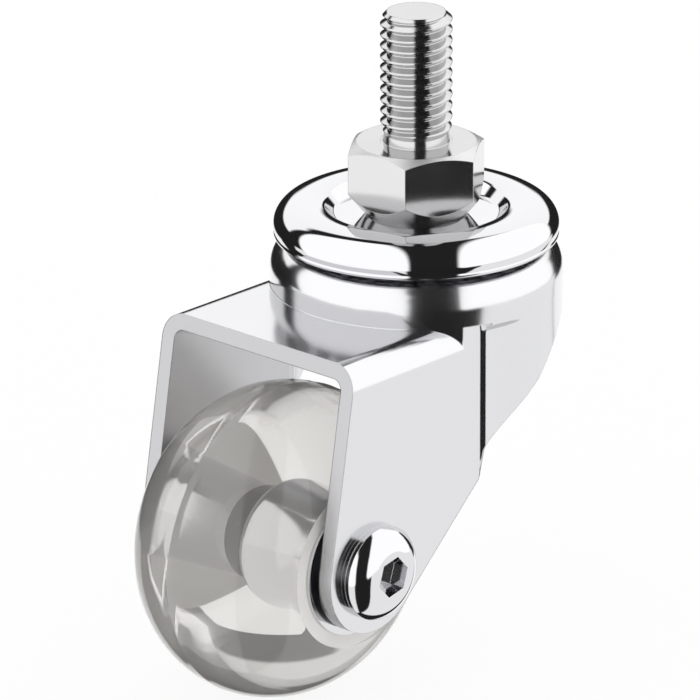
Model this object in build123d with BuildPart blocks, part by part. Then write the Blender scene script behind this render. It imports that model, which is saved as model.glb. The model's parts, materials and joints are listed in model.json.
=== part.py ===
from build123d import *
import math
import os

os.makedirs("parts", exist_ok=True)

# Swivel castor with a threaded stem, a dished cover over a drawn drum, a pressed fork
# and one clear round-crowned wheel. Millimetres, Z up along the stem. The origin is at
# the foot of the stem, on the top face of the hexagon. The wheel trails towards -X and
# its axle lies along Y. The near side is -Y and the far side is +Y.

# Stem and hexagon
stem_d = 8.0
stem_length = 15.0
stem_end_chamfer = 0.75
hex_width = 14.0
hex_height = 8.5
hex_turn = 33.5
hex_crown_d = 13.3
hex_crown_angle = 30.0
hex_edge_depth = 5.35
hex_foot_d = 11.0
rivet_head_r = 5.2
rivet_head_h = 1.6

# Dished cover
cover_sheet = 1.1
cover_r = 16.0
cover_seat_r = 8.6
cover_seat_bend = 1.0
cover_bead_r = 3.0
cover_crest_rise = 1.3
cover_lip_drop = 0.35
cover_lip_in = 0.2
cover_hem_r = 0.35
hem_bulge = 0.08

# Races and balls
upper_ball_d = 3.0
upper_ball_count = 22
upper_race_in = 0.3
lower_ball_d = 2.5
lower_ball_count = 16
lower_race_r = 9.3
ball_play = 0.08
groove_depth = 0.3
drum_bore_r = 6.4
spacer_r = 5.4
lower_cup_r = 12.2
lower_cup_t = 1.3
lower_cup_round = 0.3
bore_play = 0.05

# Fork: drawn drum, flat crown, two cheeks and the rear skirt
sheet = 1.8
drum_proud = 0.35
drum_shoulder_run = 3.0
drum_shoulder_drop = 3.6
drum_height = 5.25
fork_reach = 25.4
bend_r = 3.0
joggle_set = 1.6267
joggle_run = 1.1
crease_radius = 1.0
skirt_step = 2.0
skirt_rear_drop = 1.5
skirt_corner_x = 10.0
cheek_end_r = 7.1
blank_margin = 1.0
axle_back = 22.45
axle_drop = 40.75

# Wheel
wheel_d = 35.6
crown_over_width = 0.5
wheel_side_round = 0.5
tread_groove = 0.12

# Hub: a flanged barrel on the near side, a thin neck and a flange on the far side
hub_half = 11.9
hub_flange_r = 7.9
hub_flange_t = 0.4
barrel_r = 5.7
barrel_wall = 0.7
barrel_end_y = 1.1
barrel_end_round = 1.2
barrel_end_wall = 0.8
end_wall_relief = 0.1
neck_r = 3.5

# Two ball bearings inside the barrel
bearing_width = 3.0
bearing_ball_d = 1.2
bearing_ball_count = 10
bearing_ring_wall = 0.5
shield_t = 0.2
shield_in = 0.2
shield_inset = 0.1

# Axle
axle_d = 6.0
screw_d = 4.0
screw_reach = 12.0
washer_r = 5.35
washer_t = 0.5
head_r = 5.3
head_rim = 0.5
head_dome = 1.8
head_flat_r = 2.9
head_fullness = 0.62
socket_width = 4.0
socket_depth = 2.0
socket_turn = 12.0
thread_run_out = 1.0
side_washer_r = 4.2
side_washer_t = 0.6

# Levels and radii that follow from the sizes above
cover_crest_r = cover_r - cover_bead_r
upper_race_r = cover_crest_r - upper_race_in
drum_r = cover_r + drum_proud
drum_crown_r = drum_r - drum_shoulder_run
cheek_in = hub_half + side_washer_t
fork_half_width = cheek_in + sheet
joggle_x = joggle_set - math.sqrt(drum_r**2 - fork_half_width**2)
stem_r = stem_d / 2
seat_z = -hex_height
cover_under_z = seat_z - cover_sheet
crest_z = seat_z + cover_crest_rise
upper_ball_r = upper_ball_d / 2
upper_ball_z = crest_z - cover_sheet - ball_play - upper_ball_r
drum_top_z = upper_ball_z - upper_ball_r - ball_play + groove_depth
drum_under_z = drum_top_z - sheet
crown_z = drum_top_z - drum_height
skirt_z = crown_z - skirt_rear_drop
lower_ball_r = lower_ball_d / 2
lower_ball_z = drum_under_z + groove_depth - ball_play - lower_ball_r
cup_top_z = lower_ball_z - lower_ball_r - ball_play + groove_depth
cup_under_z = cup_top_z - lower_cup_t
axle_z = -axle_drop
axle_x = -axle_back
wheel_r = wheel_d / 2
axle_r = axle_d / 2


def save(part, name):
    part.label = name
    export_step(part, f"parts/{name}.step")


def turned(points, plane, axis):
    with BuildPart() as shape:
        with BuildSketch(plane):
            with BuildLine():
                Polyline(*points, close=True)
            make_face()
        revolve(axis=axis)
    return shape.part


axle_plane = Plane(origin=(axle_x, 0, axle_z), x_dir=(1, 0, 0), z_dir=(0, 0, 1))
axle_line = Axis((axle_x, 0, axle_z), (0, 1, 0))

# Threaded stem: stud, hexagon, shank and riveted end turned from one bar
hex_corner_r = hex_width / math.sqrt(3)
crown_drop = (hex_corner_r - hex_crown_d / 2) * math.tan(math.radians(hex_crown_angle))
with BuildPart() as threaded_stem:
    with BuildSketch(Plane.XY.offset(seat_z)):
        RegularPolygon(hex_width / 2, 6, major_radius=False, rotation=hex_turn)
    extrude(amount=hex_height)
    with BuildSketch(Plane.XZ):
        with BuildLine():
            Polyline(
                (0, seat_z),
                (hex_foot_d / 2, seat_z),
                (hex_corner_r, -hex_edge_depth),
                (hex_corner_r, -crown_drop),
                (hex_crown_d / 2, 0),
                (0, 0),
                close=True,
            )
        make_face()
    revolve(axis=Axis.Z, mode=Mode.INTERSECT)
    with BuildSketch(Plane.XZ):
        with BuildLine():
            Polyline(
                (rivet_head_r, cup_under_z),
                (stem_r, cup_under_z),
                (stem_r, stem_length - stem_end_chamfer),
                (stem_r - stem_end_chamfer, stem_length),
                (0, stem_length),
                (0, cup_under_z - rivet_head_h),
            )
            TangentArc(
                (0, cup_under_z - rivet_head_h), (rivet_head_r, cup_under_z), tangent=(1, 0)
            )
        make_face()
    revolve(axis=Axis.Z)
save(threaded_stem.part, "threaded_stem")

# Dished cover: sunken seat, rounded bead, short wall and a rolled hem
cover_rise_run = cover_crest_r - cover_seat_r
rise_radii = (cover_rise_run**2 + cover_crest_rise**2) / (2 * cover_crest_rise)
rise_angle = math.degrees(math.asin(cover_rise_run / rise_radii))
hem_r = cover_r - cover_lip_in
hem_z = crest_z - cover_bead_r - cover_lip_drop
with BuildPart() as top_cover:
    with BuildSketch(Plane.XZ):
        with BuildLine():
            seat = Line((stem_r + bore_play, seat_z), (cover_seat_r, seat_z))
            foot = JernArc(seat @ 1, (1, 0), cover_seat_bend, rise_angle)
            rise = JernArc(foot @ 1, foot % 1, rise_radii - cover_seat_bend, -rise_angle)
            bead = JernArc(rise @ 1, (1, 0), cover_bead_r, -90)
            wall = Line(bead @ 1, (hem_r, hem_z))
            offset(amount=cover_sheet, side=Side.RIGHT)
        make_face()
        with Locations((hem_r - cover_hem_r + hem_bulge, hem_z)):
            Circle(cover_hem_r)
    revolve(axis=Axis.Z)
save(top_cover.part, "top_cover")


def ball_ring(ball_r, ring_r, count, plane):
    with BuildPart(plane) as balls:
        with PolarLocations(ring_r, count):
            Sphere(ball_r)
    return balls.part


# Upper ball race between cover and drum, lower one between drum and cup
upper_plane = Plane.XY.offset(upper_ball_z)
save(ball_ring(upper_ball_r, upper_race_r, upper_ball_count, upper_plane), "upper_balls")
lower_plane = Plane.XY.offset(lower_ball_z)
save(ball_ring(lower_ball_r, lower_race_r, lower_ball_count, lower_plane), "lower_balls")

# Distance sleeve that keeps the two races apart on the shank
with BuildPart() as race_spacer:
    with BuildSketch(Plane.XY.offset(cup_top_z)):
        Circle(spacer_r)
        Circle(stem_r + bore_play, mode=Mode.SUBTRACT)
    extrude(amount=cover_under_z - cup_top_z)
save(race_spacer.part, "race_spacer")

# Lower race cup, clamped by the riveted end
with BuildPart() as lower_cup:
    with BuildSketch(Plane.XY.offset(cup_under_z)):
        Circle(lower_cup_r)
        Circle(stem_r + bore_play, mode=Mode.SUBTRACT)
    extrude(amount=lower_cup_t)
    with BuildSketch(Plane.XZ):
        with Locations((lower_race_r, lower_ball_z)):
            Circle(lower_ball_r + ball_play)
    revolve(axis=Axis.Z, mode=Mode.SUBTRACT)
    fillet(lower_cup.edges().filter_by(GeomType.CIRCLE).sort_by(SortBy.RADIUS)[-2:], lower_cup_round)
save(lower_cup.part, "lower_race_cup")

# Fork pressed from one sheet
shoulder_z = drum_top_z - drum_shoulder_drop
fork_floor = axle_z - cheek_end_r - blank_margin
joggle_span = math.sqrt(2 * drum_r**2 - (fork_half_width - joggle_x) ** 2)
joggle_wall = (joggle_span - fork_half_width - joggle_x) / math.sqrt(2)
edge_run = skirt_corner_x - axle_x
edge_rise = skirt_z - axle_z
edge_length = math.hypot(edge_run, edge_rise)
edge_slope = math.tan(math.atan2(edge_rise, edge_run) + math.asin(cheek_end_r / edge_length))
joggle_end_x = joggle_x + joggle_run
step_z = skirt_z - edge_slope * (skirt_corner_x - joggle_end_x) + skirt_step
with BuildPart() as fork:
    with BuildSketch(Plane.XY.offset(crown_z)):
        Circle(drum_r)
        with BuildLine():
            Polyline(
                (-2 * drum_r, -fork_half_width),
                (joggle_x, -fork_half_width),
                (joggle_x + 2 * drum_r, -fork_half_width - 2 * drum_r),
                (joggle_x + 2 * drum_r, fork_half_width + 2 * drum_r),
                (joggle_x, fork_half_width),
                (-2 * drum_r, fork_half_width),
                close=True,
            )
        make_face(mode=Mode.INTERSECT)
    extrude(amount=fork_floor - crown_z)
    with BuildSketch(Plane.YZ.offset(-fork_reach - cheek_end_r)):
        with Locations((0, (crown_z + fork_floor) / 2)):
            channel = Rectangle(2 * fork_half_width, crown_z - fork_floor)
        fillet(channel.vertices().group_by(Axis.Y)[-1], bend_r)
    extrude(amount=fork_reach + cheek_end_r)
    upright = fork.edges().filter_by(Axis.Z).filter_by_position(Axis.X, -drum_r, 0)
    creases = upright.filter_by(lambda edge: edge.length > crease_radius)
    fillet(creases, min(crease_radius, joggle_wall))
    with BuildSketch(Plane.XZ):
        with BuildLine():
            Line((0, crown_z), (drum_r, crown_z))
            Line((drum_r, crown_z), (drum_r, shoulder_z))
            EllipticalCenterArc(
                (drum_crown_r, shoulder_z),
                drum_r - drum_crown_r,
                drum_shoulder_drop,
                start_angle=0,
                arc_size=90,
            )
            Line((drum_crown_r, drum_top_z), (0, drum_top_z))
            Line((0, drum_top_z), (0, crown_z))
        make_face()
    revolve(axis=Axis.Z)
    # hollow under the crown, between the cheeks and inside the skirt
    with BuildSketch(Plane.YZ.offset(-fork_reach - cheek_end_r)):
        with Locations((0, (crown_z - sheet + fork_floor) / 2)):
            hollow = Rectangle(2 * cheek_in, crown_z - sheet - fork_floor)
        fillet(hollow.vertices().group_by(Axis.Y)[-1], bend_r - sheet)
    extrude(amount=fork_reach + cheek_end_r, mode=Mode.SUBTRACT)
    with BuildSketch(Plane.XZ):
        with BuildLine():
            Line((0, fork_floor), (drum_r - sheet, fork_floor))
            Line((drum_r - sheet, fork_floor), (drum_r - sheet, shoulder_z))
            EllipticalCenterArc(
                (drum_crown_r, shoulder_z),
                drum_r - sheet - drum_crown_r,
                drum_shoulder_drop - sheet,
                start_angle=0,
                arc_size=90,
            )
            Line((drum_crown_r, drum_under_z), (0, drum_under_z))
            Line((0, drum_under_z), (0, fork_floor))
        make_face()
    revolve(axis=Axis.Z, mode=Mode.SUBTRACT)
    # side outline of the pressing
    with BuildSketch(Plane.XZ):
        with BuildLine():
            Line((-fork_reach, crown_z), (skirt_corner_x, skirt_z))
            CenterArc((axle_x, axle_z), cheek_end_r, 0, 360)
        make_hull()
        with BuildLine():
            Polyline(
                (-fork_reach, crown_z),
                (-fork_reach, crown_z + sheet),
                (-drum_r, drum_top_z),
                (drum_r, drum_top_z),
                (drum_r, skirt_z),
                (skirt_corner_x, skirt_z),
                close=True,
            )
        make_face()
    extrude(amount=2 * drum_r, both=True, mode=Mode.INTERSECT)
    # lower edge of the skirt, one step above the line of the cheeks
    with BuildSketch(Plane.XZ):
        with BuildLine():
            Polyline(
                (joggle_x, fork_floor),
                (joggle_x, step_z - joggle_run * edge_slope - skirt_step),
                (joggle_end_x, step_z),
                (skirt_corner_x, skirt_z),
                (skirt_corner_x, fork_floor),
                close=True,
            )
        make_face()
    extrude(amount=2 * drum_r, both=True, mode=Mode.SUBTRACT)
    # centre hole and ball grooves of the drum
    with BuildSketch(Plane.XY.offset(drum_top_z)):
        Circle(drum_bore_r)
    extrude(amount=-2 * sheet, mode=Mode.SUBTRACT)
    with BuildSketch(Plane.XZ):
        with Locations((upper_race_r, upper_ball_z)):
            Circle(upper_ball_r + ball_play)
        with Locations((lower_race_r, lower_ball_z)):
            Circle(lower_ball_r + ball_play)
    revolve(axis=Axis.Z, mode=Mode.SUBTRACT)
    # axle holes through both cheeks
    with BuildSketch(Plane.XZ):
        with Locations((axle_x, axle_z)):
            Circle(axle_r + bore_play)
    extrude(amount=2 * drum_r, both=True, mode=Mode.SUBTRACT)
save(fork.part, "fork")

# Clear wheel: one round-crowned moulding cast round the hub, with a parting groove
wheel_half_width = hub_half - hub_flange_t
crown_radius = wheel_half_width + crown_over_width
crown_centre_r = wheel_r - crown_radius
wheel_side_r = crown_centre_r + math.sqrt(crown_radius**2 - wheel_half_width**2)
bore_r = barrel_r + bore_play
neck_bore_r = neck_r + bore_play
bore_end_y = barrel_end_y + bore_play
with BuildPart() as wheel:
    with BuildSketch(axle_plane):
        with BuildLine():
            crown = ThreePointArc(
                (wheel_side_r, -wheel_half_width), (wheel_r, 0), (wheel_side_r, wheel_half_width)
            )
            Polyline(
                crown @ 1,
                (neck_bore_r, wheel_half_width),
                (neck_bore_r, bore_end_y),
                (bore_r, bore_end_y),
                (bore_r, -wheel_half_width),
                crown @ 0,
            )
        wheel_face = make_face()
        steps = wheel_face.vertices().filter_by(lambda corner: math.isclose(corner.Y, bore_end_y))
        fillet(steps.sort_by(Axis.X)[-1], barrel_end_round + bore_play)
        with Locations((wheel_r, 0)):
            RegularPolygon(tread_groove, 4, mode=Mode.SUBTRACT)
    revolve(axis=axle_line)
    side_edges = wheel.edges().filter_by(GeomType.CIRCLE).filter_by(
        lambda edge: abs(edge.radius - wheel_side_r) < tread_groove
    )
    fillet(side_edges, wheel_side_round)
save(wheel.part, "wheel")

# Steel hub: flange, barrel with a rounded end, neck and far flange
barrel_bore_r = barrel_r - barrel_wall
hub_bore_r = axle_r + bore_play
inner_race_r = hub_bore_r + bearing_ring_wall
far_face = barrel_end_y - barrel_end_wall
with BuildPart() as hub_barrel:
    with BuildSketch(axle_plane):
        with BuildLine():
            Polyline(
                (barrel_bore_r, -hub_half),
                (hub_flange_r, -hub_half),
                (hub_flange_r, -hub_half + hub_flange_t),
                (barrel_r, -hub_half + hub_flange_t),
                (barrel_r, barrel_end_y),
                (neck_r, barrel_end_y),
                (neck_r, hub_half - hub_flange_t),
                (hub_flange_r, hub_half - hub_flange_t),
                (hub_flange_r, hub_half),
                (hub_bore_r, hub_half),
                (hub_bore_r, far_face + end_wall_relief),
                (inner_race_r + shield_in, far_face + end_wall_relief),
                (inner_race_r + shield_in, far_face),
                (barrel_bore_r, far_face),
                close=True,
            )
        hub_face = make_face()
        ends = hub_face.vertices().filter_by(lambda corner: math.isclose(corner.Y, barrel_end_y))
        fillet(ends.sort_by(Axis.X)[-1], barrel_end_round)
    revolve(axis=axle_line)
save(hub_barrel.part, "hub_barrel")

# Two ball bearings inside the barrel, each with its rings, balls and outer shield
ball_r = bearing_ball_d / 2
bearing_r = barrel_bore_r - bore_play
outer_race_r = bearing_r - bearing_ring_wall
bearing_race_r = (hub_bore_r + bearing_r) / 2
near_face = -hub_half
for side, place, face in (("near", -1, near_face), ("far", 1, far_face)):
    back = face - place * bearing_width
    middle = (face + back) / 2
    for ring, inner, outer in (
        ("inner", hub_bore_r, inner_race_r),
        ("outer", outer_race_r, bearing_r),
    ):
        with BuildPart() as race:
            with BuildSketch(axle_plane):
                with BuildLine():
                    Polyline((inner, face), (outer, face), (outer, back), (inner, back), close=True)
                make_face()
                with Locations((bearing_race_r, middle)):
                    Circle(ball_r + ball_play, mode=Mode.SUBTRACT)
            revolve(axis=axle_line)
        save(race.part, f"bearing_{ring}_ring_{side}")
    ball_plane = Plane(origin=(axle_x, middle, axle_z), x_dir=(1, 0, 0), z_dir=(0, 1, 0))
    save(
        ball_ring(ball_r, bearing_race_r, bearing_ball_count, ball_plane),
        f"bearing_balls_{side}",
    )
    cover_y = face - place * shield_inset
    save(
        turned(
            [
                (inner_race_r + shield_in, cover_y),
                (outer_race_r, cover_y),
                (outer_race_r, cover_y - place * shield_t),
                (inner_race_r + shield_in, cover_y - place * shield_t),
            ],
            axle_plane,
            axle_line,
        ),
        f"bearing_shield_{side}",
    )

# Spacer tube between the inner rings
save(
    turned(
        [
            (hub_bore_r, near_face + bearing_width),
            (inner_race_r, near_face + bearing_width),
            (inner_race_r, far_face - bearing_width),
            (hub_bore_r, far_face - bearing_width),
        ],
        axle_plane,
        axle_line,
    ),
    "hub_spacer_tube",
)

# Washers: thin ones beside the inner rings and dished ones under the two heads
for side, place in (("near", -1), ("far", 1)):
    for name, bore, rim, start, end in (
        ("side_washer", hub_bore_r, side_washer_r, hub_half + bore_play, cheek_in),
        ("head_washer", hub_bore_r, washer_r, fork_half_width, fork_half_width + washer_t),
    ):
        with BuildPart() as washer:
            with BuildSketch(axle_plane):
                with BuildLine():
                    Polyline(
                        (bore, place * start),
                        (rim, place * start),
                        (rim, place * end),
                        (bore, place * end),
                        close=True,
                    )
                make_face()
            revolve(axis=axle_line)
        save(washer.part, f"{name}_{side}")


def domed_head(place):
    start = place * (fork_half_width + washer_t)
    rim = start + place * head_rim
    crown = rim + place * head_dome
    middle_r = head_flat_r + (head_r - head_flat_r) * head_fullness
    middle_y = rim + place * head_dome * head_fullness
    with BuildPart() as head:
        with BuildSketch(axle_plane):
            with BuildLine():
                Line((0, start), (head_r, start))
                Line((head_r, start), (head_r, rim))
                ThreePointArc((head_r, rim), (middle_r, middle_y), (head_flat_r, crown))
                Line((head_flat_r, crown), (0, crown))
                Line((0, crown), (0, start))
            make_face()
        revolve(axis=axle_line)
        socket_plane = Plane(origin=(axle_x, crown, axle_z), x_dir=(1, 0, 0), z_dir=(0, place, 0))
        with BuildSketch(socket_plane):
            RegularPolygon(socket_width / 2, 6, major_radius=False, rotation=socket_turn)
        extrude(amount=-socket_depth, mode=Mode.SUBTRACT)
    return head.part


# Axle: a barrel nut from the far side and a screw from the near side
with BuildPart() as axle_barrel:
    add(domed_head(1))
    with BuildSketch(axle_plane):
        with BuildLine():
            Polyline(
                (0, fork_half_width + washer_t),
                (axle_r, fork_half_width + washer_t),
                (axle_r, -fork_half_width),
                (screw_d / 2 + bore_play, -fork_half_width),
                (screw_d / 2 + bore_play, screw_reach - fork_half_width + thread_run_out),
                (0, screw_reach - fork_half_width + thread_run_out),
                close=True,
            )
        make_face()
    revolve(axis=axle_line)
save(axle_barrel.part, "axle_barrel_nut")

with BuildPart() as axle_screw:
    add(domed_head(-1))
    with BuildSketch(axle_plane):
        with BuildLine():
            Polyline(
                (0, -fork_half_width - washer_t),
                (screw_d / 2, -fork_half_width - washer_t),
                (screw_d / 2, screw_reach - fork_half_width),
                (0, screw_reach - fork_half_width),
                close=True,
            )
        make_face()
    revolve(axis=axle_line)
save(axle_screw.part, "axle_screw")
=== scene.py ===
import json
import math

import bmesh
import bpy
from mathutils import Matrix, Vector


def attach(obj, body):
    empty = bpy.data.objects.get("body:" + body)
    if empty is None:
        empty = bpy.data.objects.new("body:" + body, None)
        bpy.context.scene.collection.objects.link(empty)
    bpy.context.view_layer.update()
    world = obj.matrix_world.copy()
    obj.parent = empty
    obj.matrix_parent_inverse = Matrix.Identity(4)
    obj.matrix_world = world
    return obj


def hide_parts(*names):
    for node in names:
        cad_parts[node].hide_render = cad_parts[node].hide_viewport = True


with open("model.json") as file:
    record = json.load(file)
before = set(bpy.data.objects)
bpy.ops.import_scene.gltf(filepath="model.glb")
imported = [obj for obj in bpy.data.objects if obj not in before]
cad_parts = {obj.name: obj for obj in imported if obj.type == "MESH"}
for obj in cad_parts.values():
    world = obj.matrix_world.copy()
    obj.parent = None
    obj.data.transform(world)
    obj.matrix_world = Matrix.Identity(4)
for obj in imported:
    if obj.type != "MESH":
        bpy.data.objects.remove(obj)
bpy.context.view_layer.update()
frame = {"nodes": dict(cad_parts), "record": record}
view = bpy.context.scene.view_settings
view.view_transform = "Standard"

# The clear wheel needs more bounces than usual, or the light that it traps turns black
cycles = bpy.context.scene.cycles
cycles.max_bounces = 32
cycles.glossy_bounces = 16
cycles.transmission_bounces = 24

MM = 0.001
nodes = frame["nodes"]

# Distances in metres at which points are welded, and a margin in millimetres
WELD = 1e-6
FINE_WELD = 1e-7
MARGIN = 0.1

# Corners sharper than this many degrees stay sharp
SHARP_THREAD = 12
SHARP_SHEET = 20
SHARP_TURNED = 35

# Camera of the photograph, in degrees and metres, with its lens in millimetres
CAMERA_AZIMUTH = -47.163
CAMERA_ELEVATION = 20.356
CAMERA_ROLL = -0.195
CAMERA_DISTANCE = 842.0 * MM
CAMERA_TARGET = Vector((-10.89, 0, -21.76)) * MM
CAMERA_LENS = 391.64
CAMERA_NEAR = 0.01
CAMERA_FAR = 20.0

# Thread of the stem, in millimetres
STEM_RADIUS = 4.0
STEM_LENGTH = 15.0
SHANK_CUT = 0.02
THREAD_START = 1.0
THREAD_PITCH = 1.25
THREAD_DEPTH = 0.72
THREAD_CREST = 0.2
THREAD_ROOT = 0.12
THREAD_STEPS = 72
THREAD_SPARE_TURNS = 2
END_CHAMFER = 0.75
NECK_RADIUS = 3.55
NECK_FLARE = 0.15
NECK_OVERLAP = 0.2
RUN_OUT = 0.5

# Chamfer of the hexagon: how far its faces look up, and how far they lie outside the stem
CHAMFER_FACING = (0.5, 0.97)
CHAMFER_CLEAR = 1

# Wheel and hub, in millimetres, along and from the axle
AXLE = Vector((-22.45, 0, -40.75)) * MM
WHEEL_RADIUS = 17.8
CROWN_RADIUS = 12.0
CROWN_STEPS = 56
WHEEL_HALF = 11.5
SIDE_ROUND = 0.5
SIDE_ROUND_SHARE = 0.3
SIDE_DROP = 0.25
PARTING_HALF = 0.12
PARTING_RIDGE = 0.02
FLANGE_GAP = 0.06
FLANGE_THICKNESS = 0.4
FLANGE_RADIUS = 7.9
FAR_FLANGE_RADIUS = 4.6
BARREL_RADIUS = 5.7
BARREL_END = 1.1
BARREL_ROUND = 1.2
BARREL_BORE = 5.0
BARREL_BORE_END = 0.3
COLLAR_HEIGHT = 1.0
COLLAR_MIDDLE = 3.4
COLLAR_STEP = 0.3
COLLAR_END = 4.4
NECK_HUB_RADIUS = 3.5
HUB_BORE = 3.05
HUB_STEP = 3.8
HUB_STEP_END = 0.4
HUB_HALF = 11.9
CONTACT = 0.02

# How straight a face of the wheel looks sideways where it is matt
SIDE_FACING = 0.95

# Cover, in millimetres: height or radius, and the centres of its rounds as radius and height
COVER_BORE = 4.05
COVER_SEAT = -8.5
COVER_SHEET = 1.1
SEAT_CORNER_RADIUS = 8.95
SEAT_CORNER_ROUND = 0.5
WELL_CENTRE = (10.703, -8.008)
WELL_ROUND = 0.8
CREST_CENTRE = (12.2, -15.05)
CREST_ROUND = 8.0
CREST_INNER_ROUND = 6.75
BEAD_CENTRE = (13.312, -9.817)
BEAD_ROUND = 2.65
BEAD_INNER_ROUND = 1.55
HEM_CENTRE = (15.53, -10.55)
HEM_ROUND = 0.35
HEM_INNER_EDGE = (14.86, -9.817)
WELL_UNDERSIDE = [(10.1, -8.9), (9.4, -9.5), (9.0, COVER_SEAT - COVER_SHEET)]
SPIN_STEPS = 128

# Crease between the cheeks and the skirt of the fork, in millimetres
CROWN = -16.41
CHEEK_HALF = 14.3
CHEEK_SHEET = 1.0
DRUM_RADIUS = 16.36
SKIRT_INSIDE = 15.3
SKIRT_END = 3.0
JOGGLE_START = -6.8
JOGGLE_END = -4.8
CREASE_TOP = 1.3
CREASE_ROWS = 6
CREASE_SHARE = 0.34
SKIRT_COLUMNS = 10
CROWN_MARGIN = 0.001
ROUND_MARGIN = 0.03
DRUM_CLEAR = 1

# How a face of the fork is turned where it is a cut edge, or faces down on the inside, where the
# chrome is painted darker as shade
EDGE_ACROSS = 0.3
EDGE_AHEAD = -0.6
INSIDE_DOWN = -0.5

# Finishes: patches of polish, soft edges, and the skin, refraction and body of polyurethane
POLISH_PATCHES_PER_MM = 0.18
EDGE_SAMPLES = 6
CAST_FLOW = 4.0
CAST_FLOW_DEPTH = 0.004
CAST_IOR = 1.49
CAST_COLOUR = "#F0EEEB"

# Studio as the metal sees it, from the camera: X towards the camera, Y to the right, Z up.
# Each soft box lies inside three planes, each a direction and how far along it the box
# starts; then come the roundness of its corners, the softness of its edges, its brightness.
# EVERYWHERE is a plane that cuts nothing off.
EVERYWHERE = ((0, 0, 0), -1)
PANELS = [
    ((((0, -1, 0), 0.07), ((1, 0, 0.365), -0.27), ((0, 0, 1), -0.42)), 0.16, 0.07, 1.32),
    ((((-0.25, 1, 0), 0.29), ((1, 0, 0.15), -0.71), ((0, 0, 1), -0.22)), 0.16, 0.07, 1.32),
    ((((-0.79, 0.62, 0), -0.03), ((0.68, 0.73, 0), 0), ((0, 0, -1), 0.12)), 0.05, 0.05, 1.02),
    ((((-0.1, -0.99, 0), 0.02), ((0.9, -0.36, 0), -0.02), ((0, 0, -1), 0.12)), 0.05, 0.05, 1.02),
    ((((-1, 0, 0), 0.66), ((0, 0, -1), 0.24), EVERYWHERE), 0.05, 0.05, 1.1),
    ((((-1, 0, 0), 0.55), ((0, 0, 1), 0.2), ((0, 0, -1), -0.66)), 0.06, 0.06, 1.2),
]
ROOM_DARK = 0.018

# What the wheel shows of the room: calmer than the metals see it, and dimmer at each mirroring
THROUGH_DARK = 0.1
THROUGH_LIGHT = 0.78
DEEPER = 0.8
MIRRORED_SHARE = 0.6

FLOOR_HEIGHT = -58.58 * MM
FLOOR_HALF = 3.0
FLOOR_GLOW = 0.9
FLOOR_COLOUR = "#FAFAFA"


def linear(code):
    """Turns an sRGB hex colour into linear red, green, blue and a full alpha."""
    parts = [int(code[i : i + 2], 16) / 255 for i in (1, 3, 5)]
    return tuple(c / 12.92 if c <= 0.04045 else ((c + 0.055) / 1.055) ** 2.4 for c in parts) + (1,)


def add_node(tree, kind, settings=(), links=()):
    """Adds a node, sets its properties and input values, and links outputs or numbers into it."""
    made = tree.nodes.new(kind)
    for name, value in dict(settings).items():
        if isinstance(name, str) and hasattr(made, name):
            setattr(made, name, value)
        else:
            made.inputs[name].default_value = value
    for name, source in dict(links).items():
        if isinstance(source, (int, float)):
            made.inputs[name].default_value = source
        else:
            tree.links.new(source, made.inputs[name])
    return made


def new_material(name):
    """Makes an empty node material and returns it with its tree and output."""
    material = bpy.data.materials.new(name)
    material.use_nodes = True
    tree = material.node_tree
    tree.nodes.clear()
    output = add_node(tree, "ShaderNodeOutputMaterial")
    return material, tree, output


def plated_metal(name, colour, roughness, spread, grain_mm, grain_depth, wave_mm, wave_depth, edge):
    """Makes a metal whose polish varies a little, with fine grain, slow waves and soft edges."""
    material, tree, output = new_material(name)
    where = add_node(tree, "ShaderNodeTexCoord").outputs["Object"]
    patches = add_node(
        tree,
        "ShaderNodeTexNoise",
        {"Scale": POLISH_PATCHES_PER_MM / MM, "Detail": 3.0},
        {"Vector": where},
    )
    polish = add_node(
        tree,
        "ShaderNodeMapRange",
        {"To Min": roughness - spread, "To Max": roughness + spread},
        {"Value": patches.outputs["Fac"]},
    )
    waves = add_node(
        tree, "ShaderNodeTexNoise", {"Scale": 1 / (wave_mm * MM), "Detail": 1.0}, {"Vector": where}
    )
    rounded = add_node(tree, "ShaderNodeBevel", {"samples": EDGE_SAMPLES, "Radius": edge * MM})
    wavy = add_node(
        tree,
        "ShaderNodeBump",
        {"Strength": 1.0, "Distance": wave_depth * MM},
        {"Height": waves.outputs["Fac"], "Normal": rounded.outputs["Normal"]},
    )
    grain = add_node(
        tree, "ShaderNodeTexNoise", {"Scale": 1 / (grain_mm * MM), "Detail": 2.0}, {"Vector": where}
    )
    bump = add_node(
        tree,
        "ShaderNodeBump",
        {"Strength": 1.0, "Distance": grain_depth * MM},
        {"Height": grain.outputs["Fac"], "Normal": wavy.outputs["Normal"]},
    )
    shader = add_node(
        tree,
        "ShaderNodeBsdfPrincipled",
        {"Base Color": linear(colour), "Metallic": 1.0},
        {"Roughness": polish.outputs["Result"], "Normal": bump.outputs["Normal"]},
    )
    tree.links.new(shader.outputs["BSDF"], output.inputs["Surface"])
    return material


def clear_polyurethane(name, roughness, clearness):
    """Clear cast polyurethane: refracts strongly, with a faint warm body and a little haze."""
    material, tree, output = new_material(name)
    where = add_node(tree, "ShaderNodeTexCoord").outputs["Object"]
    flow = add_node(
        tree,
        "ShaderNodeTexNoise",
        {"Scale": 1 / (CAST_FLOW * MM), "Detail": 1.0},
        {"Vector": where},
    )
    skin = add_node(
        tree,
        "ShaderNodeBump",
        {"Strength": 1.0, "Distance": CAST_FLOW_DEPTH * MM},
        {"Height": flow.outputs["Fac"]},
    )
    shader = add_node(
        tree,
        "ShaderNodeBsdfPrincipled",
        {
            "Base Color": linear(CAST_COLOUR),
            "Roughness": roughness,
            "IOR": CAST_IOR,
            "Transmission Weight": clearness,
        },
        {"Normal": skin.outputs["Normal"]},
    )
    tree.links.new(shader.outputs["BSDF"], output.inputs["Surface"])
    return material


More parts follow.
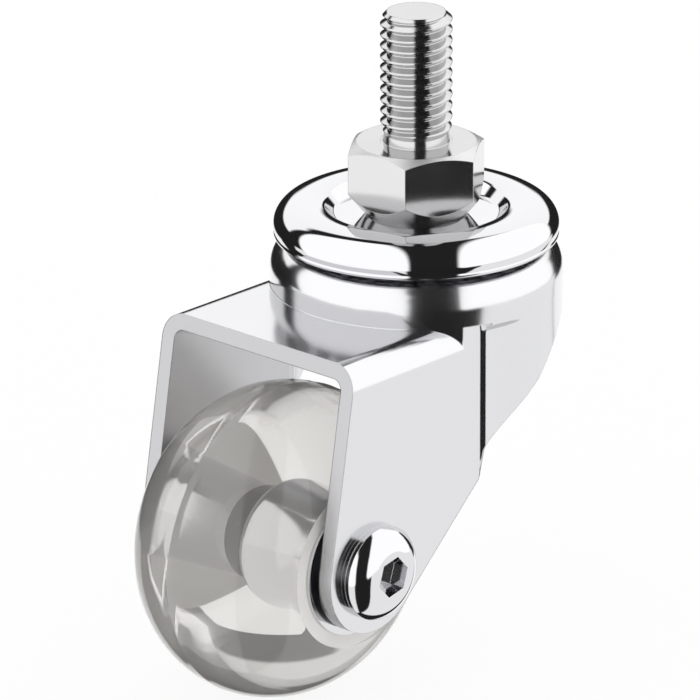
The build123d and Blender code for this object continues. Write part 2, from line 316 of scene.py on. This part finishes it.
# Chrome on a drawn and buffed cover: mirror bright, so the soft boxes keep crisp outlines
cover_chrome = plated_metal(
    "mirror_chrome_plate",
    "#E0E0E2",
    roughness=0.05,
    spread=0.015,
    grain_mm=0.6,
    grain_depth=0.0003,
    wave_mm=6,
    wave_depth=0.001,
    edge=0.05,
)
# Chrome on pressed sheet: bright, but the faint waves of the sheet soften what it mirrors
fork_chrome = plated_metal(
    "pressed_chrome_plate",
    "#E0E0E2",
    roughness=0.15,
    spread=0.02,
    grain_mm=0.3,
    grain_depth=0.0006,
    wave_mm=4,
    wave_depth=0.006,
    edge=0.2,
)
# Chrome on the sheared edge of the sheet: duller and greyer than the faces beside it
edge_chrome = plated_metal(
    "sheared_edge_under_chrome",
    "#BABABC",
    roughness=0.25,
    spread=0.04,
    grain_mm=0.3,
    grain_depth=0.001,
    wave_mm=1.2,
    wave_depth=0.004,
    edge=0.2,
)
# Thin, rough chrome inside the fork and on its faces turned down: a soft grey blur without clear
# reflections, painted darker as the shade between the cheeks and under the fork
inside_chrome_painted_shade = plated_metal(
    "rough_inside_chrome_painted_shade",
    "#C4C4C6",
    roughness=0.3,
    spread=0.05,
    grain_mm=0.3,
    grain_depth=0.001,
    wave_mm=3,
    wave_depth=0.01,
    edge=0.2,
)
# Chrome on turned screw heads: sharp black and white reflections
screw_chrome = plated_metal(
    "turned_chrome_plate",
    "#E0E0E2",
    roughness=0.07,
    spread=0.02,
    grain_mm=0.3,
    grain_depth=0.0004,
    wave_mm=3,
    wave_depth=0.001,
    edge=0.1,
)
# Bright zinc on the turned stem: a little greyer and more satin than chrome, with a fine grain
zinc = plated_metal(
    "bright_zinc_plated_steel",
    "#D0D0D0",
    roughness=0.14,
    spread=0.04,
    grain_mm=0.12,
    grain_depth=0.0014,
    wave_mm=1.5,
    wave_depth=0.002,
    edge=0.12,
)
# Zinc over the turned chamfer of the hexagon: matt enough to stay an even light grey
chamfer_zinc = plated_metal(
    "turned_chamfer_under_zinc",
    "#E0E0E0",
    roughness=0.4,
    spread=0.05,
    grain_mm=0.15,
    grain_depth=0.002,
    wave_mm=1,
    wave_depth=0.002,
    edge=0.1,
)
# Ground steel of the balls, rings and shields: bright with a slightly blurred shine
steel = plated_metal(
    "ground_bearing_steel",
    "#D2D2D4",
    roughness=0.12,
    spread=0.03,
    grain_mm=0.2,
    grain_depth=0.0008,
    wave_mm=2,
    wave_depth=0.001,
    edge=0.05,
)
# Drawn steel of the hub: bright, with waves that break up what the clear wheel magnifies
hub_steel = plated_metal(
    "drawn_hub_steel",
    "#DEDEE0",
    roughness=0.08,
    spread=0.03,
    grain_mm=0.3,
    grain_depth=0.0006,
    wave_mm=2.5,
    wave_depth=0.004,
    edge=0.1,
)
# Rough collar of the hub, painted dark: painted shade for the dark ring that shows behind the
# bright barrel
hub_collar_painted_dark = plated_metal(
    "rough_hub_collar_painted_shade",
    "#606062",
    roughness=0.25,
    spread=0.1,
    grain_mm=0.3,
    grain_depth=0.004,
    wave_mm=1.2,
    wave_depth=0.03,
    edge=0.1,
)
# Polished crown of the wheel: clear and glossy, with a faint warm haze
polyurethane = clear_polyurethane("clear_cast_polyurethane", roughness=0.04, clearness=0.86)
# Sides of the wheel, left as they come from the mould: matt and milky, they hide what is behind
side_polyurethane = clear_polyurethane("cast_side_left_as_moulded", roughness=0.5, clearness=0.15)

finish_of_slot = {
    "chrome_plate": cover_chrome,
    "zinc_plated_steel": zinc,
    "bright_steel": steel,
    "clear_polyurethane": polyurethane,
}
finish_of_node = {
    "fork": fork_chrome,
    "axle_screw": screw_chrome,
    "axle_barrel_nut": screw_chrome,
}
for part in frame["record"]["subparts"]:
    target = nodes[part["node"]]
    target.data.materials.clear()
    finish = finish_of_node.get(part["node"], finish_of_slot[part["material_slot"]])
    target.data.materials.append(finish)


def place_camera():
    """Sets the camera at the photograph's viewing angle."""
    azimuth = math.radians(CAMERA_AZIMUTH)
    elevation = math.radians(CAMERA_ELEVATION)
    roll = math.radians(CAMERA_ROLL)
    back = Vector(
        (
            math.sin(azimuth) * math.cos(elevation),
            -math.cos(azimuth) * math.cos(elevation),
            math.sin(elevation),
        )
    )
    level_right = (-back).cross(Vector((0, 0, 1))).normalized()
    level_up = level_right.cross(-back)
    right = level_right * math.cos(roll) + level_up * math.sin(roll)
    up = level_up * math.cos(roll) - level_right * math.sin(roll)
    data = bpy.data.cameras.new("camera")
    data.lens = CAMERA_LENS
    data.clip_start = CAMERA_NEAR
    data.clip_end = CAMERA_FAR
    camera = bpy.data.objects.new("camera", data)
    turn = Matrix((right, up, back)).transposed().to_4x4()
    camera.matrix_world = Matrix.Translation(CAMERA_TARGET + back * CAMERA_DISTANCE) @ turn
    bpy.context.scene.collection.objects.link(camera)
    bpy.context.scene.camera = camera


place_camera()


def finish_piece(shape, name, material, body, sharp):
    """Turns a bmesh into a piece with smooth faces and sharp corners, on its body.

    A copy of a CAD mesh brings its old normals along, so they are taken off first.
    """
    bmesh.ops.recalc_face_normals(shape, faces=shape.faces)
    for face in shape.faces:
        face.smooth = True
    data = bpy.data.meshes.new(name)
    shape.to_mesh(data)
    shape.free()
    for leftover in ("custom_normal", "sharp_edge", "sharp_face"):
        if leftover in data.attributes:
            data.attributes.remove(data.attributes[leftover])
    data.set_sharp_from_angle(angle=math.radians(sharp))
    data.materials.append(material)
    piece = bpy.data.objects.new(name, data)
    bpy.context.scene.collection.objects.link(piece)
    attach(piece, body)
    return piece


def spin_round(shape, points, centre, axis):
    """Spins a closed loop of points once round an axis."""
    corners = [shape.verts.new(point) for point in points]
    edges = [shape.edges.new(pair) for pair in zip(corners, corners[1:] + corners[:1])]
    bmesh.ops.spin(
        shape,
        geom=corners + edges,
        cent=centre,
        axis=axis,
        angle=2 * math.pi,
        steps=SPIN_STEPS,
        use_merge=True,
    )
    bmesh.ops.remove_doubles(shape, verts=shape.verts, dist=FINE_WELD)


def spin_round_axle(shape, profile):
    """Spins a closed profile of (distance along the axle, radius) pairs round the axle."""
    points = [AXLE + Vector((radius, along, 0)) * MM for along, radius in profile]
    spin_round(shape, points, AXLE, (0, 1, 0))


def smooth(share):
    """Eases a share from 0 to 1."""
    share = min(max(share, 0), 1)
    return share * share * (3 - 2 * share)


def arc(first, second, size, start, end, steps):
    """Points of an arc round a centre; 0 degrees points along the second axis, 90 the first."""
    angles = [math.radians(start + (end - start) * i / steps) for i in range(steps + 1)]
    return [(first + size * math.sin(a), second + size * math.cos(a)) for a in angles]


def make_stem():
    """Hexagon and shank of the CAD stem under a cut thread with a chamfer and a run-out."""
    shape = bmesh.new()
    shape.from_mesh(nodes["threaded_stem"].data)
    bmesh.ops.remove_doubles(shape, verts=shape.verts, dist=WELD)
    parts = shape.verts[:] + shape.edges[:] + shape.faces[:]
    cut = bmesh.ops.bisect_plane(
        shape,
        geom=parts,
        plane_co=(0, 0, SHANK_CUT * MM),
        plane_no=(0, 0, 1),
        clear_outer=True,
    )
    rim = [e for e in cut["geom_cut"] if isinstance(e, bmesh.types.BMEdge)]
    bmesh.ops.contextual_create(shape, geom=rim)

    thread = bmesh.new()
    root = STEM_RADIUS - THREAD_DEPTH
    flank = (THREAD_PITCH - THREAD_CREST - THREAD_ROOT) / 2
    profile = [
        (root, 0),
        (root + THREAD_DEPTH / 3, flank / 3),
        (root + 2 * THREAD_DEPTH / 3, 2 * flank / 3),
        (STEM_RADIUS, flank),
        (STEM_RADIUS, flank + THREAD_CREST),
        (root + 2 * THREAD_DEPTH / 3, flank * 4 / 3 + THREAD_CREST),
        (root + THREAD_DEPTH / 3, flank * 5 / 3 + THREAD_CREST),
        (root, 2 * flank + THREAD_CREST),
        (root, THREAD_PITCH),
    ]
    points = [
        thread.verts.new(Vector((radius, 0, height - THREAD_PITCH)) * MM)
        for radius, height in profile
    ]
    edges = [thread.edges.new(pair) for pair in zip(points, points[1:])]
    turns = math.ceil(STEM_LENGTH / THREAD_PITCH) + THREAD_SPARE_TURNS
    bmesh.ops.spin(
        thread,
        geom=points + edges,
        cent=(0, 0, 0),
        axis=(0, 0, 1),
        dvec=(0, 0, THREAD_PITCH * MM / THREAD_STEPS),
        angle=2 * math.pi * turns,
        steps=THREAD_STEPS * turns,
    )
    bmesh.ops.remove_doubles(thread, verts=thread.verts, dist=WELD)
    for level, way in ((THREAD_START, -1), (STEM_LENGTH, 1)):
        cut = bmesh.ops.bisect_plane(
            thread,
            geom=thread.verts[:] + thread.edges[:] + thread.faces[:],
            plane_co=(0, 0, level * MM),
            plane_no=(0, 0, way),
            clear_outer=True,
        )
        rim = [e for e in cut["geom_cut"] if isinstance(e, bmesh.types.BMEdge)]
        bmesh.ops.contextual_create(thread, geom=rim)
    for point in thread.verts:
        height = point.co.z / MM
        radius = point.co.xy.length / MM
        from_end = STEM_RADIUS - END_CHAMFER + (STEM_LENGTH - height)
        from_neck = NECK_RADIUS + (height - THREAD_START) * RUN_OUT
        limit = min(from_end, from_neck)
        if radius > limit:
            point.co.xy *= limit / radius
    spare = bpy.data.meshes.new("thread")
    thread.to_mesh(spare)
    thread.free()
    shape.from_mesh(spare)
    bpy.data.meshes.remove(spare)
    neck = bmesh.ops.create_cone(
        shape,
        cap_ends=True,
        segments=THREAD_STEPS,
        radius1=(NECK_RADIUS + NECK_FLARE) * MM,
        radius2=NECK_RADIUS * MM,
        depth=(THREAD_START + NECK_OVERLAP) * MM,
    )
    bmesh.ops.translate(
        shape, vec=(0, 0, (THREAD_START + NECK_OVERLAP) / 2 * MM), verts=neck["verts"]
    )
    shape.normal_update()
    for face in shape.faces:
        middle = face.calc_center_median() / MM
        tilted = CHAMFER_FACING[0] < face.normal.z < CHAMFER_FACING[1]
        if middle.z < 0 and tilted and middle.xy.length > STEM_RADIUS + CHAMFER_CLEAR:
            face.material_index = 1
    piece = finish_piece(shape, "stem_with_thread", zinc, "stem", SHARP_THREAD)
    piece.data.materials.append(chamfer_zinc)
    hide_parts("threaded_stem")


def make_wheel():
    """Round-crowned clear wheel with a bore that the hub fills, and a fine parting line."""
    shape = bmesh.new()
    centre = WHEEL_RADIUS - CROWN_RADIUS
    tilt = math.degrees(math.asin((WHEEL_HALF - SIDE_ROUND * SIDE_ROUND_SHARE) / CROWN_RADIUS))
    crown = arc(0, centre, CROWN_RADIUS, -tilt, tilt, CROWN_STEPS)
    middle = len(crown) // 2
    crown[middle - 1 : middle + 2] = [
        (-PARTING_HALF, WHEEL_RADIUS),
        (0, WHEEL_RADIUS + PARTING_RIDGE),
        (PARTING_HALF, WHEEL_RADIUS),
    ]
    side = crown[-1][1] - SIDE_DROP
    face = WHEEL_HALF - FLANGE_GAP
    profile = crown + [
        (WHEEL_HALF, side),
        (face, side - SIDE_ROUND),
        (face, NECK_HUB_RADIUS - CONTACT),
        (COLLAR_END, NECK_HUB_RADIUS - CONTACT),
        (COLLAR_MIDDLE, NECK_HUB_RADIUS + COLLAR_STEP - CONTACT),
        (BARREL_END, NECK_HUB_RADIUS + COLLAR_HEIGHT),
        (BARREL_END - BARREL_ROUND, BARREL_RADIUS - CONTACT),
        (-face, BARREL_RADIUS - CONTACT),
        (-face, side - SIDE_ROUND),
        (-WHEEL_HALF, side),
    ]
    spin_round_axle(shape, profile)
    shape.normal_update()
    for side_face in shape.faces:
        if abs(side_face.normal.y) > SIDE_FACING:
            side_face.material_index = 1
    piece = finish_piece(
        shape, "clear_wheel", polyurethane, "wheel", SHARP_TURNED
    )
    piece.data.materials.append(side_polyurethane)
    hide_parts("wheel")


def make_hub():
    """Drawn steel hub: flange and barrel on the near side, neck and flange on the far side."""
    shape = bmesh.new()
    flange = HUB_HALF - FLANGE_THICKNESS
    profile = [
        (-HUB_HALF, BARREL_BORE),
        (-HUB_HALF, FLANGE_RADIUS),
        (-flange, FLANGE_RADIUS),
        (-flange, BARREL_RADIUS),
    ]
    round_centre = (BARREL_END - BARREL_ROUND, BARREL_RADIUS - BARREL_ROUND)
    profile += arc(*round_centre, BARREL_ROUND, 0, 90, 10)
    profile += [
        (COLLAR_MIDDLE, NECK_HUB_RADIUS + COLLAR_STEP),
        (COLLAR_END, NECK_HUB_RADIUS),
        (flange, NECK_HUB_RADIUS),
        (flange, FAR_FLANGE_RADIUS),
        (HUB_HALF, FAR_FLANGE_RADIUS),
        (HUB_HALF, HUB_BORE),
        (HUB_STEP_END, HUB_BORE),
        (HUB_STEP_END, HUB_STEP),
        (BARREL_BORE_END, HUB_STEP),
        (BARREL_BORE_END, BARREL_BORE),
    ]
    spin_round_axle(shape, profile)
    # The collar faces take the rough collar finish, painted dark as shade
    for face in shape.faces:
        middle = face.calc_center_median()
        along = middle.y / MM
        from_axle = (middle - AXLE).xz.length / MM
        on_painted_dark_collar = BARREL_END - MARGIN < along < COLLAR_MIDDLE
        if on_painted_dark_collar and from_axle > HUB_BORE + MARGIN:
            face.material_index = 1
    piece = finish_piece(shape, "drawn_hub", hub_steel, "wheel", SHARP_TURNED)
    piece.data.materials.append(hub_collar_painted_dark)
    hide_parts("hub_barrel")


def make_cover():
    """Dished cover: flat seat, steep well, broad crest, round bead and a rolled hem.

    Each arc runs from one angle to another, in degrees, in the given number of steps.
    """
    shape = bmesh.new()
    seat_corner = (SEAT_CORNER_RADIUS, COVER_SEAT + SEAT_CORNER_ROUND)
    profile = [(COVER_BORE, COVER_SEAT)]
    profile += arc(*seat_corner, SEAT_CORNER_ROUND, 180, 132, 5)
    profile += arc(*WELL_CENTRE, WELL_ROUND, -48, -14, 5)
    profile += arc(*CREST_CENTRE, CREST_ROUND, -12, 11, 16)
    profile += arc(*BEAD_CENTRE, BEAD_ROUND, 12, 90, 24)
    profile += arc(*HEM_CENTRE, HEM_ROUND, 50, 290, 14)
    profile += [HEM_INNER_EDGE]
    profile += arc(*BEAD_CENTRE, BEAD_INNER_ROUND, 80, 14, 8)
    profile += arc(*CREST_CENTRE, CREST_INNER_ROUND, 11, -11, 8)
    profile += WELL_UNDERSIDE + [(COVER_BORE, COVER_SEAT - COVER_SHEET)]
    points = [Vector((radius, 0, height)) * MM for radius, height in profile]
    spin_round(shape, points, (0, 0, 0), (0, 0, 1))
    piece = finish_piece(shape, "dished_cover", cover_chrome, "stem", SHARP_TURNED)
    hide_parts("top_cover")


def make_fork():
    """The CAD fork with the crease drawn tight, duller cut edges, and a rougher inside painted
    darker as shade.
    """
    shape = bmesh.new()
    shape.from_mesh(nodes["fork"].data)
    bmesh.ops.remove_doubles(shape, verts=shape.verts, dist=WELD)
    for step in range(1, CREASE_ROWS + 1):
        bmesh.ops.bisect_plane(
            shape,
            geom=shape.verts[:] + shape.edges[:] + shape.faces[:],
            plane_co=(0, 0, (CROWN - CREASE_TOP * step / CREASE_ROWS) * MM),
            plane_no=(0, 0, 1),
        )
    for step in range(1, SKIRT_COLUMNS + 1):
        across = JOGGLE_END + (SKIRT_END - JOGGLE_END) * step / SKIRT_COLUMNS
        bmesh.ops.bisect_plane(
            shape,
            geom=shape.verts[:] + shape.edges[:] + shape.faces[:],
            plane_co=(across * MM, 0, 0),
            plane_no=(1, 0, 0),
        )
    for point in shape.verts:
        x, y, z = point.co / MM
        from_axis = math.hypot(x, y)
        outer = SKIRT_INSIDE < from_axis < DRUM_RADIUS + MARGIN
        if not outer or z > CROWN + CROWN_MARGIN or not JOGGLE_START < x < SKIRT_END:
            continue
        deep = smooth((CROWN - z) / CREASE_TOP)
        far = smooth((x - JOGGLE_END) / (SKIRT_END - JOGGLE_END))
        kept = 1 - (1 - CREASE_SHARE) * deep * (1 - far)
        width = CHEEK_HALF + (abs(y) - CHEEK_HALF) * kept
        if abs(y) > CHEEK_HALF:
            point.co.y = math.copysign(width, y) * MM
        if x < JOGGLE_END and (deep > 0 or from_axis < DRUM_RADIUS - ROUND_MARGIN):
            point.co.x = (JOGGLE_END + (x - JOGGLE_END) * CREASE_SHARE) * MM
    for face in shape.faces:
        middle = face.calc_center_median() / MM
        normal = face.normal
        outside_drum = middle.xy.length > DRUM_RADIUS + DRUM_CLEAR
        between_cheeks = abs(middle.y) < CHEEK_HALF - CHEEK_SHEET and middle.z < CROWN
        if abs(normal.y) < EDGE_ACROSS and normal.x < EDGE_AHEAD and outside_drum:
            face.material_index = 1
        # Faces between the cheeks and faces turned down take the inside chrome, painted darker as
        # shade
        elif normal.y * middle.y < 0 and between_cheeks:
            face.material_index = 2
        elif normal.z < INSIDE_DOWN and middle.x < JOGGLE_START:
            face.material_index = 2
    piece = finish_piece(shape, "pressed_fork", fork_chrome, "fork", SHARP_SHEET)
    piece.data.materials.append(edge_chrome)
    piece.data.materials.append(inside_chrome_painted_shade)
    flat_faces = piece.modifiers.new("flat_faces", "WEIGHTED_NORMAL")
    flat_faces.keep_sharp = True
    flat_faces.weight = 100
    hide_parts("fork")


make_stem()
make_cover()
make_fork()
make_wheel()
make_hub()


def soft_box(tree, direction, sides, corner, soft):
    """Mask of a soft box that lies inside three planes through the room, with round corners."""
    insets = add_node(tree, "ShaderNodeCombineXYZ")
    for axis, (normal, limit) in zip("XYZ", sides):
        along = add_node(
            tree, "ShaderNodeVectorMath", {"operation": "DOT_PRODUCT", 1: normal}, {0: direction}
        )
        inset = add_node(
            tree,
            "ShaderNodeMath",
            {"operation": "SUBTRACT"},
            {0: limit + corner, 1: along.outputs["Value"]},
        )
        tree.links.new(inset.outputs["Value"], insets.inputs[axis])
    outside = add_node(
        tree,
        "ShaderNodeVectorMath",
        {"operation": "MAXIMUM", 1: (0, 0, 0)},
        {0: insets.outputs["Vector"]},
    )
    gap = add_node(
        tree, "ShaderNodeVectorMath", {"operation": "LENGTH"}, {0: outside.outputs["Vector"]}
    )
    return add_node(
        tree,
        "ShaderNodeMapRange",
        {"interpolation_type": "SMOOTHSTEP", "From Min": corner, "From Max": corner - soft},
        {"Value": gap.outputs["Value"]},
    ).outputs["Result"]


def light_studio():
    """Lights the scene with a white room in which the metals see soft boxes and dark gaps.

    Rays that pass through the wheel see a calmer room, and scattered light sees plain white.
    """
    world = bpy.data.worlds.new("studio")
    bpy.context.scene.world = world
    world.use_nodes = True
    tree = world.node_tree
    tree.nodes.clear()
    direction = add_node(tree, "ShaderNodeTexCoord").outputs["Generated"]
    turned = add_node(
        tree,
        "ShaderNodeVectorRotate",
        {"rotation_type": "Z_AXIS", "Angle": math.radians(-(270 + CAMERA_AZIMUTH))},
        {"Vector": direction},
    ).outputs["Vector"]
    room = ROOM_DARK
    for sides, corner, soft, brightness in PANELS:
        mask = soft_box(tree, turned, sides, corner, soft)
        panel = add_node(
            tree, "ShaderNodeMath", {"operation": "MULTIPLY", 1: brightness}, {0: mask}
        )
        room = add_node(
            tree, "ShaderNodeMath", {"operation": "MAXIMUM"}, {0: room, 1: panel.outputs["Value"]}
        ).outputs["Value"]
    calm_room = add_node(
        tree,
        "ShaderNodeMapRange",
        {"To Min": THROUGH_DARK, "To Max": THROUGH_LIGHT},
        {"Value": room},
    ).outputs["Result"]
    path = add_node(tree, "ShaderNodeLightPath").outputs
    sums = (
        ("mirrored", "MINIMUM", path["Glossy Depth"], 1),
        ("restless", "MULTIPLY", "mirrored", MIRRORED_SHARE),
        ("calm", "SUBTRACT", 1, "restless"),
        ("passed", "MINIMUM", path["Transmission Depth"], 1),
        ("inside", "MULTIPLY", "passed", "calm"),
        ("after_first", "SUBTRACT", path["Glossy Depth"], 1),
        ("again", "MINIMUM", "after_first", 1),
        ("deeper", "MAXIMUM", "again", 0),
        ("dimming", "POWER", DEEPER, "deeper"),
        ("direct", "MAXIMUM", path["Is Glossy Ray"], path["Is Transmission Ray"]),
        ("scattered", "MINIMUM", path["Diffuse Depth"], 1),
        ("unscattered", "SUBTRACT", 1, "scattered"),
        ("exact", "MULTIPLY", "direct", "unscattered"),
    )
    value = {}
    for name, operation, *pair in sums:
        sources = {i: value[v] if isinstance(v, str) else v for i, v in enumerate(pair)}
        summed = add_node(tree, "ShaderNodeMath", {"operation": operation}, sources)
        value[name] = summed.outputs["Value"]
    seen = add_node(
        tree,
        "ShaderNodeMix",
        {"data_type": "FLOAT"},
        {"Factor": value["inside"], "A": room, "B": calm_room},
    ).outputs["Result"]
    dimmed = add_node(
        tree, "ShaderNodeMath", {"operation": "MULTIPLY"}, {0: seen, 1: value["dimming"]}
    ).outputs["Value"]
    strength = add_node(
        tree,
        "ShaderNodeMix",
        {"data_type": "FLOAT"},
        {"Factor": value["exact"], "A": 1, "B": dimmed},
    ).outputs["Result"]
    glow = add_node(
        tree, "ShaderNodeBackground", {"Color": (1, 1, 1, 1)}, {"Strength": strength}
    ).outputs["Background"]
    add_node(tree, "ShaderNodeOutputWorld", (), {"Surface": glow})


light_studio()


def lay_floor():
    """Plain pale floor that stays white and takes a faint shadow."""
    data = bpy.data.meshes.new("floor")
    shape = bmesh.new()
    bmesh.ops.create_grid(shape, x_segments=1, y_segments=1, size=FLOOR_HALF)
    bmesh.ops.translate(shape, vec=(0, 0, FLOOR_HEIGHT), verts=shape.verts)
    shape.to_mesh(data)
    shape.free()
    floor = bpy.data.objects.new("floor", data)
    bpy.context.scene.collection.objects.link(floor)
    floor.visible_glossy = False
    material, tree, output = new_material("white_studio_floor")
    path = add_node(tree, "ShaderNodeLightPath").outputs
    seen = add_node(
        tree,
        "ShaderNodeMath",
        {"operation": "MAXIMUM"},
        {0: path["Is Camera Ray"], 1: path["Is Transmission Ray"]},
    )
    share = add_node(
        tree, "ShaderNodeMath", {"operation": "MULTIPLY", 1: FLOOR_GLOW}, {0: seen.outputs["Value"]}
    )
    matt = add_node(tree, "ShaderNodeBsdfDiffuse", {"Color": linear(FLOOR_COLOUR)})
    glow = add_node(tree, "ShaderNodeEmission", {"Color": (1, 1, 1, 1), "Strength": 1.0})
    mixed = add_node(
        tree,
        "ShaderNodeMixShader",
        (),
        {0: share.outputs["Value"], 1: matt.outputs["BSDF"], 2: glow.outputs["Emission"]},
    )
    tree.links.new(mixed.outputs["Shader"], output.inputs["Surface"])
    data.materials.append(material)


lay_floor()
